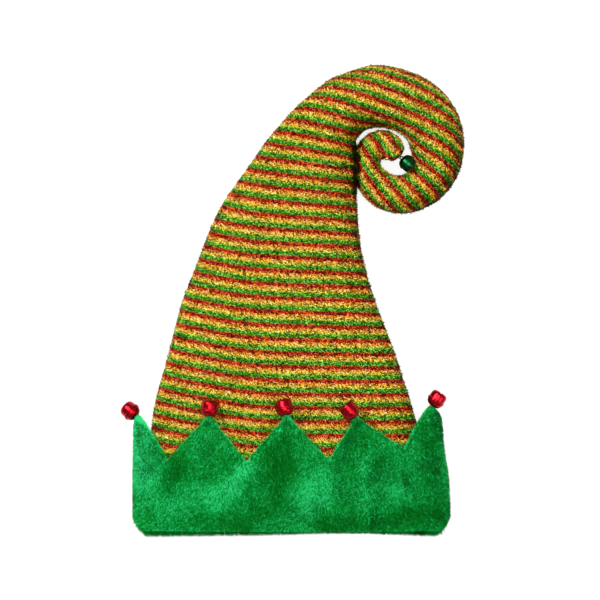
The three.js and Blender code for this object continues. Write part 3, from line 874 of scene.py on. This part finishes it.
outside_rows = (1 - np.cos(np.linspace(0, np.pi, 34))) / 2
inside_rows = (1 - np.cos(np.linspace(np.pi, 0.35, 16))) / 2
hem_rows = np.linspace(0, 1, 5)
first_outside = len(hem_rows) + 1
last_outside = first_outside + len(outside_rows) - 1
profile = []
for share in hem_rows:
    up = hem_height + (bottom + hem_fold / 2 - hem_height) * share
    profile.append(hem_points(columns["angle"], up, crown_wall))
profile.append(hem_points(columns["angle"], bottom + edge_radius / 4, crown_wall / 3))
for share in outside_rows:
    up = bottom + (height - bottom) * share
    inset = pile_stand + (cuff_wall - pile_stand) / 2 * (
        rounded(height - up, edge_radius) + rounded(up - bottom, edge_radius)
    )
    profile.append(lifted(cuff_points(columns["angle"], up, inset), up))
for share in inside_rows[1:]:
    up = bottom + hem_fold + (height - bottom - hem_fold) * share
    inset = cuff_wall - (cuff_wall - pile_stand) / 2 * rounded(height - up, edge_radius)
    profile.append(lifted(cuff_points(columns["angle"], up, inset), up))
for share in hem_rows:
    up = bottom + hem_fold + (hem_height - bottom - hem_fold) * share
    profile.append(hem_points(columns["angle"], up, 0))
cuff_grid = np.array(profile)


def noise_tones(tree, shader, space, scale, detail, *tones):
    """Soft noise that moves a colour from one tone to another. Each tone has its place in it."""
    place = tree.nodes.new("ShaderNodeTexCoord")
    soft_noise = tree.nodes.new("ShaderNodeTexNoise")
    soft_noise.inputs["Scale"].default_value = scale
    soft_noise.inputs["Detail"].default_value = detail
    tree.links.new(place.outputs[space], soft_noise.inputs["Vector"])
    ramp = tree.nodes.new("ShaderNodeValToRGB")
    for element, (position, tone) in zip(ramp.color_ramp.elements, tones):
        element.position = position
        element.color = (*tone, 1)
    tree.links.new(soft_noise.outputs["Fac"], ramp.inputs["Fac"])
    tree.links.new(ramp.outputs["Color"], shader.inputs["Base Color"])
    return soft_noise.outputs["Fac"]


# Green plush: dark between the fibres and lighter in soft patches.
plush_shine = 0.03
plush_base, tree, shader = new_material("plush_backing", 0.95)
shader.inputs["Specular IOR Level"].default_value = plush_shine
plush_tones = (0.35, (0.002, 0.07, 0.012)), (0.7, (0.004, 0.20, 0.03))
noise_tones(tree, shader, "Object", 60, 4, *plush_tones)

cuff_flat = cuff_grid.reshape(-1, 3)
grid_shape = cuff_grid.shape[:2]
cuff_faces = ring_faces(grid_shape[0] + 1, grid_shape[1]) % len(cuff_flat)
cuff = new_piece("cuff_plush", cuff_flat, cuff_faces, plush_base)
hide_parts("cuff")
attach(cuff, "root")

# The pile: soft fibres that lean towards the hem, brushed this way and that. Patches of it are
# painted lighter where light falls on the plush's folds and edges, and darker where they lie in
# shade.
fibre_length = (0.0019, 0.0032)
fibre_width = 0.00045
fibre_root = 0.0003
fibre_lean = (0.5, 1.25)
edge_lean = 1.3
fibre_heading = 0.25
front_fibres = 195000
back_fibres = 105000
tuft_size = 0.0011
tuft_heading = 0.5
other_side = 3001
edge_reach = 0.0022
edge_pull = 1.6
tip_reach = 0.0062
tip_pull = 2
tip_up_share = 0.8
tip_extra = 1.9
tip_crowding = 8
turned_up = 0.9
raised_glinting_share = 0.06
raised_extra = 0.3
hem_allowance = 0.0004
front_least_height = 0.01
front_start = -0.05

# How many tones lighter the fibres are than the darkest, and what makes them lighter. Much of it is
# painted
# light and shade: lit and shaded patches, lit edges, a highlight along the front's hem and glinting
# raised fibres.
usual_tone = 2.25
patch_and_light_tones = 1.4
tuft_tones = 0.7
edge_highlight_tones = 0.5
hem_highlight_tones = 1.3
hem_highlight_reach = 0.0010
raised_glint_tones = 1.6
uneven_tones = 0.8
pile_tones = [
    (0.0005, 0.110, 0.003),
    (0.0010, 0.210, 0.013),
    (0.0025, 0.340, 0.040),
    (0.0080, 0.500, 0.100),
    (0.0350, 0.720, 0.240),
]

# Painted light and shade on the plush, in patches: from one place to another, across as shares of
# half the rim and up as shares of the cuff's height, then how wide and how much lighter.
painted_light_and_shade_rows = [
    (-0.30, 0.56, -0.50, 0.18, 0.07, 0.5),
    (0.12, 0.40, 0.22, 0.34, 0.09, 0.45),
    (0.455, 0.72, 0.47, 0.12, 0.035, 0.45),
    (0.58, 0.76, 0.50, 0.60, 0.08, 0.3),
    (-0.80, 0.30, -0.62, 0.22, 0.12, 0.3),
    (-0.95, 0.50, -0.95, 0.25, 0.06, 0.2),
    (-0.10, 0.94, -0.02, 0.80, 0.06, 0.2),
    (-0.70, 0.46, -0.58, 0.52, 0.10, -0.35),
    (-0.40, 0.60, -0.38, 0.52, 0.07, -0.4),
    (-0.08, 0.66, -0.06, 0.46, 0.09, -0.4),
    (-0.22, 0.24, -0.12, 0.20, 0.10, -0.35),
    (0.24, 0.14, 0.34, 0.18, 0.09, -0.4),
    (0.36, 0.62, 0.38, 0.50, 0.08, -0.4),
    (0.66, 0.30, 0.74, 0.22, 0.13, -0.35),
    (0.88, 0.50, 0.90, 0.15, 0.10, -0.3),
    (-0.95, 0.50, -0.96, 0.95, 0.10, 1.4),
    (-0.86, 0.50, -0.84, 0.62, 0.09, 0.9),
    (-0.72, 0.66, -0.70, 0.56, 0.09, -1.2),
    (-0.80, 0.46, -0.78, 0.52, 0.06, -0.6),
    (-0.66, 0.46, -0.48, 0.36, 0.09, 0.9),
    (-0.36, 0.52, -0.28, 0.62, 0.07, 1.1),
    (-0.42, 0.46, -0.36, 0.40, 0.06, 0.8),
    (-0.24, 0.30, -0.20, 0.22, 0.07, -0.7),
    (-0.13, 0.74, -0.10, 0.38, 0.10, -1.1),
    (-0.03, 0.86, -0.02, 0.60, 0.08, -0.9),
    (0.11, 0.48, 0.10, 0.24, 0.07, 1.0),
    (0.18, 0.60, 0.19, 0.54, 0.05, 0.8),
    (0.40, 0.86, 0.46, 0.76, 0.08, -0.9),
    (0.56, 0.68, 0.54, 0.62, 0.06, -1.3),
    (0.58, 0.48, 0.66, 0.38, 0.08, 0.9),
    (-0.55, 0.18, -0.30, 0.10, 0.09, -0.9),
    (0.20, 0.10, 0.62, 0.12, 0.08, -1.1),
    (0.70, 0.20, 0.92, 0.22, 0.08, -0.9),
    (0.81, 0.92, 0.84, 0.76, 0.08, -0.7),
    (-0.94, 0.96, -0.90, 0.80, 0.06, 0.9),
]


cuff_normals = grid_normals(cuff_grid)
# Uneven patches of tone, together with the painted light and shade of the listed patches.
patches_and_painted_light = unevenness(cuff_flat, 0.4, 0.022, 1.7) + unevenness(cuff_flat, 0.25, 0.007, 4.2)
swirl = unevenness(cuff_flat, 2.4, 0.045, 9.4) + unevenness(cuff_flat, 1.0, 0.013, 2.3)
patches_and_painted_light = patches_and_painted_light.reshape(grid_shape) + from_lines(cuff_grid, painted_light_and_shade_rows)
swirl = swirl.reshape(grid_shape)
profile_row = np.arange(grid_shape[0])[:, None]
past_hem = profile_row >= first_outside
to_edge = np.where(past_hem, np.abs(rim_y + height - cuff_grid[..., 1]), 1.0)
over_hem = cuff_grid[..., 1] - rim_y - bottom

# Where each point's bell is sewn on, and the way that it hangs.
tips = lifted(cuff_points(columns["angle"], columns["height"], cuff_wall / 2), columns["height"])
tips = tips[:: 2 * flank_steps]
lean = np.radians([row[8] for row in point_rows])
dip = np.radians([row[9] for row in point_rows])
bell_axes = np.stack([np.sin(lean) * np.cos(dip), np.cos(lean) * np.cos(dip), -np.sin(dip)], -1)
to_tips = np.array([np.linalg.norm(cuff_grid - tip, axis=-1) for tip in tips])
near_tip = np.exp(-((to_tips.min(axis=0) / tip_reach) ** 2))
up_bell = unit(bell_axes + [0, tip_up_share, 0])[to_tips.argmin(axis=0)]

pile_materials = []
for which, value in enumerate(pile_tones):
    material, tree, shader = new_material(f"plush_pile_{which}", 0.7)
    shader.inputs["Base Color"].default_value = (*value, 1)
    shader.inputs["Specular IOR Level"].default_value = plush_shine
    pile_materials.append(material)

tuft_light = random.normal(0, 1, drawn_numbers)
tuft_turn = random.normal(0, tuft_heading, drawn_numbers)


def tuft_line(first, second):
    """Which uneven row of tufts a place is in."""
    return np.floor(first / tuft_size + 0.3 * np.sin(second / tuft_size)).astype(int)


def pile(name, count, wanted):
    """A piece of loose fibres on part of the cuff, in tufts that share a direction and light.

    At the cut edge they stand out over it, most of all round the bells' stitches."""
    numbers = (cuff_normals, patches_and_painted_light, swirl, to_edge, over_hem, near_tip, up_bell)
    places, along, around, found = scatter(cuff_grid, count, numbers, wanted)
    normal, light, turned, from_edge, from_hem, tip_share, bell_way = found
    normal = unit(normal)
    tuft = tuft_line(places[:, 1], places[:, 0]) * next_row + tuft_line(places[:, 0], places[:, 1])
    tuft = (tuft + (normal[:, 2] > 0) * other_side) % drawn_numbers
    heading = (turned + tuft_turn[tuft] + random.normal(0, fibre_heading, count))[:, None]
    lying = -along * np.cos(heading) + around * np.sin(heading)
    outward = np.exp(-from_edge / edge_reach)[:, None]
    lying = lying * (1 - outward) + along * outward * edge_pull
    tip_share = tip_share[:, None]
    lying = lying * (1 - tip_share) + bell_way * tip_share * tip_pull
    lying = unit(lying - normal * (lying * normal).sum(axis=1, keepdims=True))
    lean = random.uniform(*fibre_lean, count)[:, None] * (1 - outward) + edge_lean * outward
    # A few fibres stand raised, and are drawn lighter as painted glints.
    raised_glinting = (random.random(count) < raised_glinting_share)[:, None]
    lean = lean * (1 - raised_extra * raised_glinting)
    reach = random.uniform(*fibre_length, count)[:, None]
    reach = reach * (1 + tip_extra * tip_share**2 + raised_extra * raised_glinting)
    facing = normal + [0, 0, turned_up] * np.sign(normal[:, 2:])
    half = unit(np.cross(facing, lying)) * fibre_width / 2
    ends = places + (lying * np.sin(lean) + normal * np.cos(lean)) * reach
    in_front = places[:, 2] > front_least_height
    hem = places[:, 1] - from_hem - hem_allowance
    ends[:, 1] = np.where(in_front, np.maximum(ends[:, 1], hem), ends[:, 1])
    shade = usual_tone + patch_and_light_tones * light + tuft_tones * tuft_light[tuft]
    # Painted highlights: fibres standing out over the cut edge, and the raised ones, are drawn
    # lighter.
    shade += edge_highlight_tones * outward[:, 0] + raised_glint_tones * raised_glinting[:, 0]
    # A painted highlight along the front's hem, where the fold's edge catches the light.
    shade += hem_highlight_tones * np.exp(-from_hem / hem_highlight_reach) * in_front
    shade += random.normal(0, uneven_tones, count)
    tone = np.clip(np.floor(shade), 0, len(pile_tones) - 1)
    feet = places - normal * fibre_root
    loose_piece(name, feet, half, ends, pile_materials, tone)


front_columns = (np.sin(columns["angle"]) > front_start).astype(float)[None, :]
on_outside = (profile_row >= first_outside - 2) & (profile_row <= last_outside + 3)
round_tips = tip_crowding * near_tip * past_hem
pile("front_pile", front_fibres, on_outside * front_columns + round_tips)
pile("back_pile", back_fibres, on_outside * (1 - front_columns))

# Behind, the hem hangs a little lower than in front, and its long fibres show below the front.
# They are drawn up in a wide patch to the right, and drawn darker as painted shade in a small gap
# near the end.
hem_fibres = 9000
hem_fibre_length = (0.0048, 0.0066)
hem_fibre_half = np.array([0.9, 0.0, 0.4]) * fibre_width
hem_sway = 0.3
hem_slant = (0.1, 0.2)
hem_usual_tone = 2.1
hem_uneven_tones = 0.6
drawn_up = {"x": 0.052, "width": 0.065, "height": 0.0024}
painted_shade_gap = {"x": 0.120, "width": 0.006, "tones": 2.2}


def near(places, spot):
    """From 0 to 1, how near places along the rim are to a spot's middle."""
    return np.exp(-(((places[:, 0] - rim_x - spot["x"]) / spot["width"]) ** 2))


in_hem = (profile_row >= first_outside - 4) & (profile_row <= first_outside + 3)
found = scatter(cuff_grid, hem_fibres, (patches_and_painted_light,), in_hem * (1 - front_columns))
places, _, _, (light,) = found
sway = random.normal(0, hem_sway, hem_fibres)
way = np.stack([sway, np.full(hem_fibres, -1.0), random.normal(*hem_slant, hem_fibres)], -1)
reach = random.uniform(*hem_fibre_length, hem_fibres) - drawn_up["height"] * near(places, drawn_up)
shade = hem_usual_tone + light + random.normal(0, hem_uneven_tones, hem_fibres)
shade -= painted_shade_gap["tones"] * near(places, painted_shade_gap)
tone = np.clip(np.floor(shade), 0, len(pile_tones) - 2)
ends = places + way * reach[:, None]
loose_piece("hem_pile", places, hem_fibre_half, ends, pile_materials, tone)

# The bells: two shells of thin lacquered steel crimped together at a flange, with a cross of
# two slots in the outer one, and a wire loop on the inner one that a thread is sewn through.
# A steel pellet lies loose in each.
green_bell_radius = 0.0076
stitch_gap = 0.0003
bell_sheet = 0.0008
body_share = 0.92
bowl_start = 0.12
bowl_steps = 9
bowl_fullness = 0.8
bowl_drop = 0.0005
slot_width = 0.0017
slot_reach = 0.75
slot_start = 0.52
slot_end = 1.5
loop_wire = 0.0006
loop_sides = 28
wire_sides = 10
bell_sides = 56
sharp_angle = 0.6

# The crimped flange, as shares of its radius at heights over its middle.
flange_rows = [
    (0.97, -0.0010), (1, -0.0006), (1, -0.0001), (0.985, 0.0001),
    (1, 0.0003), (1, 0.0008), (0.97, 0.0011),
]

# The dome, as shares of its height and of the body's radius.
dome_rows = [
    (0.3, 1.0), (0.5, 0.995), (0.66, 0.975), (0.78, 0.93), (0.87, 0.85),
    (0.93, 0.74), (0.965, 0.58), (0.985, 0.38), (0.996, 0.18),
]


def turned(profile, sides):
    """Points and faces of a profile, which starts and ends on the axis, turned round Y."""
    profile = np.array(profile)
    angles = np.linspace(0, 2 * np.pi, sides, endpoint=False)
    rings = [
        np.stack([radius * np.cos(angles), np.full(sides, along), radius * np.sin(angles)], -1)
        for radius, along in profile[1:-1]
    ]
    points = np.concatenate(rings + [[[0, profile[0][1], 0], [0, profile[-1][1], 0]]])
    faces = np.concatenate([
        ring_faces(len(rings), sides),
        fan_faces(0, sides, len(points) - 2, True),
        fan_faces((len(rings) - 1) * sides, sides, len(points) - 1, False),
    ])
    return points, faces


def ring_of_wire(ring_radius, wire_radius, middle):
    """A closed ring of wire that stands in the XY plane."""
    turn = np.linspace(0, 2 * np.pi, loop_sides, endpoint=False)[:, None]
    round_wire = np.linspace(0, 2 * np.pi, wire_sides, endpoint=False)[None, :]
    away = ring_radius + wire_radius * np.cos(round_wire)
    rise = np.broadcast_to(wire_radius * np.sin(round_wire), (loop_sides, wire_sides))
    points = np.stack([away * np.cos(turn), middle + away * np.sin(turn), rise], -1)
    faces = ring_faces(loop_sides + 1, wire_sides) % (loop_sides * wire_sides)
    return points.reshape(-1, 3), faces


def bell_mesh(name, radius, material):
    """One bell along +Y, with the flange's middle at the origin."""
    dome, bowl, _ = bell_lengths(radius)
    body = radius * body_share
    inner_body, inner_dome, inner_bowl = body - bell_sheet, dome - bell_sheet, bowl - bell_sheet
    outside, inside = [(0, -bowl)], [(0, -inner_bowl)]
    for share in np.linspace(bowl_start, 1, bowl_steps):
        angle = share * np.pi / 2
        wide = math.sin(angle) ** bowl_fullness
        outside.append((body * wide, -bowl * math.cos(angle) - bowl_drop * share))
        inside.append((inner_body * wide, -inner_bowl * math.cos(angle)))
    outside += [(radius * wide, along) for wide, along in flange_rows]
    outside.append((body * 1.01, 0.0013))
    for up, wide in dome_rows:
        outside.append((body * wide, dome * up))
        inside.append((inner_body * wide, inner_dome * up))
    outside.append((0, dome))
    inside.append((0, inner_dome))
    shell = new_piece(name, *turned(outside, bell_sides), material)
    hollow = new_piece("hollow", *turned(inside, bell_sides), material)
    cutters = [hollow]
    half_slot, reach = slot_width / 2, radius * slot_reach
    ends = dome * slot_start, dome * slot_end
    quads = [(0, 1, 3, 2), (4, 6, 7, 5), (0, 4, 5, 1), (2, 3, 7, 6), (0, 2, 6, 4), (1, 5, 7, 3)]
    for half_x, half_z in ((half_slot, reach), (reach, half_slot)):
        points = [(x, y, z) for x in (-half_x, half_x) for y in ends for z in (-half_z, half_z)]
        cutters.append(new_piece("slot", points, quads, material))
    for cutter in cutters:
        cut = shell.modifiers.new("cut", "BOOLEAN")
        cut.operation = "DIFFERENCE"
        cut.object = cutter
    depsgraph = bpy.context.evaluated_depsgraph_get()
    finished = bpy.data.meshes.new_from_object(shell.evaluated_get(depsgraph))
    for piece in [shell, *cutters]:
        bpy.data.objects.remove(piece)
    finished.set_sharp_from_angle(angle=sharp_angle)
    return finished


def lacquer(name, deep, bright):
    """Clear coloured lacquer over bright metal, a little uneven and worn."""
    material, tree, shader = new_material(name, 0.2, 1.0)
    cloudy = noise_tones(tree, shader, "Object", 260, 3, (0.3, deep), (0.75, bright))
    dull = tree.nodes.new("ShaderNodeMapRange")
    dull.inputs["To Min"].default_value = 0.14
    dull.inputs["To Max"].default_value = 0.28
    tree.links.new(cloudy, dull.inputs["Value"])
    tree.links.new(dull.outputs["Result"], shader.inputs["Roughness"])
    dents = tree.nodes.new("ShaderNodeBump")
    dents.inputs["Strength"].default_value = 0.12
    dents.inputs["Distance"].default_value = 0.0004
    tree.links.new(cloudy, dents.inputs["Height"])
    tree.links.new(dents.outputs["Normal"], shader.inputs["Normal"])
    shader.inputs["Coat Weight"].default_value = 0.15
    shader.inputs["Coat Roughness"].default_value = 0.08
    return material


red_lacquer = lacquer("red_lacquer", (0.27, 0.0005, 0.004), (0.60, 0.002, 0.014))
green_lacquer = lacquer("green_lacquer", (0.0005, 0.022, 0.005), (0.004, 0.12, 0.026))
red_bell = bell_mesh("red_bell_shell", red_bell_radius, red_lacquer)
green_bell = bell_mesh("green_bell_shell", green_bell_radius, green_lacquer)


def hang_bell(name, shell, radius, material, foot_place, axis):
    """A bell with its loop's foot at a place, turned to point along an axis."""
    dome, bowl, foot = bell_lengths(radius)
    ring = (foot - bowl + loop_wire) / 2
    loop_points, loop_faces = ring_of_wire(ring, loop_wire, ring + loop_wire - foot)
    bell = bpy.data.objects.new(f"bell_shell_{name}", shell.copy())
    bpy.context.scene.collection.objects.link(bell)
    loop = new_piece(f"bell_loop_{name}", loop_points, loop_faces, material)
    turn = Vector((0, 1, 0)).rotation_difference(Vector(axis)).to_matrix().to_4x4()
    centre = Vector(foot_place) + Vector(axis) * (foot + stitch_gap)
    for piece in (bell, loop):
        piece.data.transform(Matrix.Translation(centre) @ turn)
        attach(piece, "root")
    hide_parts(f"bell_{name}")


for row, tip, axis in zip(point_rows, tips, bell_axes):
    hang_bell(row[0], red_bell, red_bell_radius, red_lacquer, tip, axis)
hang_bell(
    "tip", green_bell, green_bell_radius, green_lacquer, crown_end, tip_forward,
)

# The pellets stay as they are in the solids. Their steel is scuffed.
pellet_steel, tree, shader = new_material("pellet_steel", 0.35, 1.0)
steel_tones = (0, (0.22, 0.22, 0.23)), (1, (0.55, 0.55, 0.57))
noise_tones(tree, shader, "Generated", 900, 2, *steel_tones)
for node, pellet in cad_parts.items():
    if node.startswith("pellet_"):
        pellet.material_slots[0].material = pellet_steel
